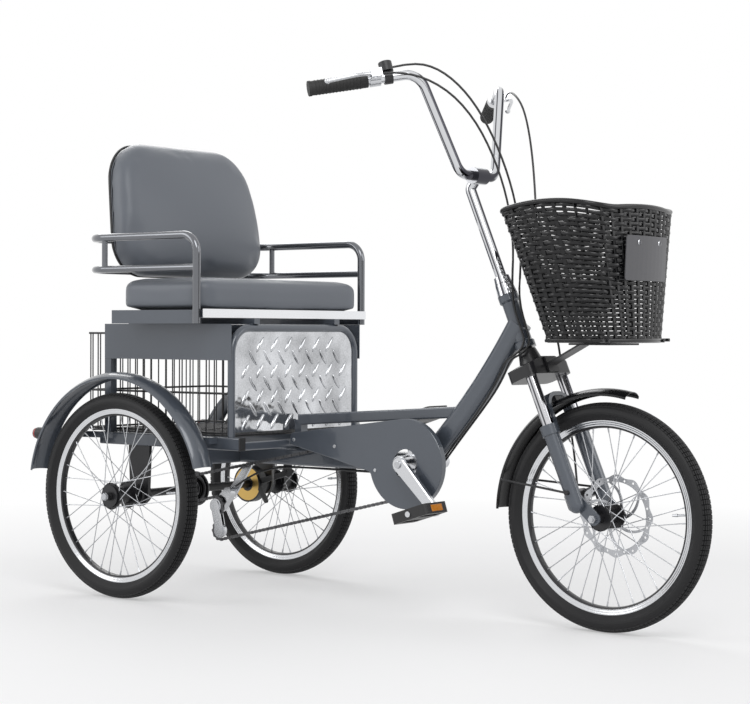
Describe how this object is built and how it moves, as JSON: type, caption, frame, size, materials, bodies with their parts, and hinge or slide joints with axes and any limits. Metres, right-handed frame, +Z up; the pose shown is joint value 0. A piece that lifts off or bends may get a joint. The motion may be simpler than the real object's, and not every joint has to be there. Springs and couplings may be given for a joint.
{
  "type": "adult pedal tricycle",
  "caption": "Upright adult pedal tricycle with a padded passenger-style seat, armrests, wire cargo basket, chain drive, swept bar, disc braked fork and front basket.",
  "frame": {"origin": "on the ground under the middle of the overall box", "axes": "+X forward to the steered wheel, +Y to the rider's left, +Z up"},
  "size_m": [1.7064, 0.7096, 1.2341],
  "materials": {
    "slate_paint": "gloss slate grey-blue paint",
    "black_wire": "black powder coat on wire and strip",
    "bright_plate": "bright rolled aluminium",
    "seat_leather": "smooth leatherette, slate grey",
    "black_plastic": "moulded, fine grain",
    "gunmetal_tube": "gloss gunmetal",
    "basket_plastic": "gloss black",
    "chrome": "polished chrome plate",
    "grip_rubber": "ribbed, matt",
    "alloy": "polished alloy",
    "bare_steel": "zinc plated",
    "drum_brass": "gold passivated steel",
    "tyre_rubber": "street tread, matt",
    "cable_rubber": "smooth sleeve"
  },
  "bodies": {
    "chassis": {"head_tube": "slate_paint", "down_tube": "slate_paint", "top_rail": "slate_paint", "main_beam": "slate_paint", "side_rails": "slate_paint", "cross_members": "slate_paint", "load_posts": "slate_paint", "front_plate": "bright_plate", "seat_bearers": "slate_paint", "right_grille": "black_wire", "left_grille": "black_wire", "rear_grille": "black_wire", "floor_grille": "black_wire", "side_skirts": "slate_paint", "seat_board": "slate_paint", "seat_trim": "bright_plate", "seat_cushion": "seat_leather", "backrest_board": "black_plastic", "backrest_cushion": "seat_leather", "armrest_rails": "gunmetal_tube", "right_mudguard": "slate_paint", "left_mudguard": "slate_paint", "rear_lamps": "black_plastic", "chain_case": "slate_paint", "chain": "bare_steel", "derailleur": "alloy", "band_brake": "drum_brass", "axle_hangers": "slate_paint", "frame_cables": "cable_rubber"},
    "steer": {"fork_upper": "slate_paint", "fork_lowers": "slate_paint", "front_axle": "bare_steel", "stem": "chrome", "handlebar": "chrome", "grips": "grip_rubber", "brake_levers": "alloy", "shifter": "black_plastic", "front_mudguard": "basket_plastic", "mudguard_stays": "black_wire", "disc_caliper": "bare_steel", "front_basket": "basket_plastic", "basket_weave": "basket_plastic", "basket_bracket": "black_wire", "bar_cables": "cable_rubber"},
    "front_wheel": {"front_tyre": "tyre_rubber", "front_rim": "alloy", "front_hub": "bare_steel", "disc_rotor": "bare_steel"},
    "right_wheel": {"right_tyre": "tyre_rubber", "right_rim": "alloy", "right_hub": "bare_steel"},
    "left_wheel": {"left_tyre": "tyre_rubber", "left_rim": "alloy", "left_hub": "bare_steel", "rear_axle": "bare_steel", "freewheel": "bare_steel", "brake_drum": "drum_brass"},
    "crank": {"crankset": "alloy"},
    "right_pedal": {"right_pedal": "black_plastic"},
    "left_pedal": {"left_pedal": "black_plastic"}
  },
  "joints": [
    {"name": "steering", "type": "hinge", "parent": "chassis", "child": "steer", "pos_m": [0.56115, 0, 0.22646], "axis": [-0.3907, 0, 0.9205], "range_deg": [-50, 50]},
    {"name": "front_wheel_spin", "type": "hinge", "parent": "steer", "child": "front_wheel", "pos_m": [0.60718, 0, 0.246], "axis": [0, 1, 0], "continuous": true},
    {"name": "right_wheel_spin", "type": "hinge", "parent": "chassis", "child": "right_wheel", "pos_m": [-0.55982, -0.3, 0.246], "axis": [0, 1, 0], "continuous": true},
    {"name": "left_wheel_spin", "type": "hinge", "parent": "chassis", "child": "left_wheel", "pos_m": [-0.55982, 0.3, 0.246], "axis": [0, 1, 0], "continuous": true},
    {"name": "crank_spin", "type": "hinge", "parent": "chassis", "child": "crank", "pos_m": [0.11618, 0, 0.34], "axis": [0, 1, 0], "continuous": true},
    {"name": "right_pedal_spin", "type": "hinge", "parent": "crank", "child": "right_pedal", "pos_m": [0.21517, -0.142, 0.24101], "axis": [0, 1, 0], "continuous": true},
    {"name": "left_pedal_spin", "type": "hinge", "parent": "crank", "child": "left_pedal", "pos_m": [0.01718, 0.142, 0.43899], "axis": [0, 1, 0], "continuous": true}
  ]
}
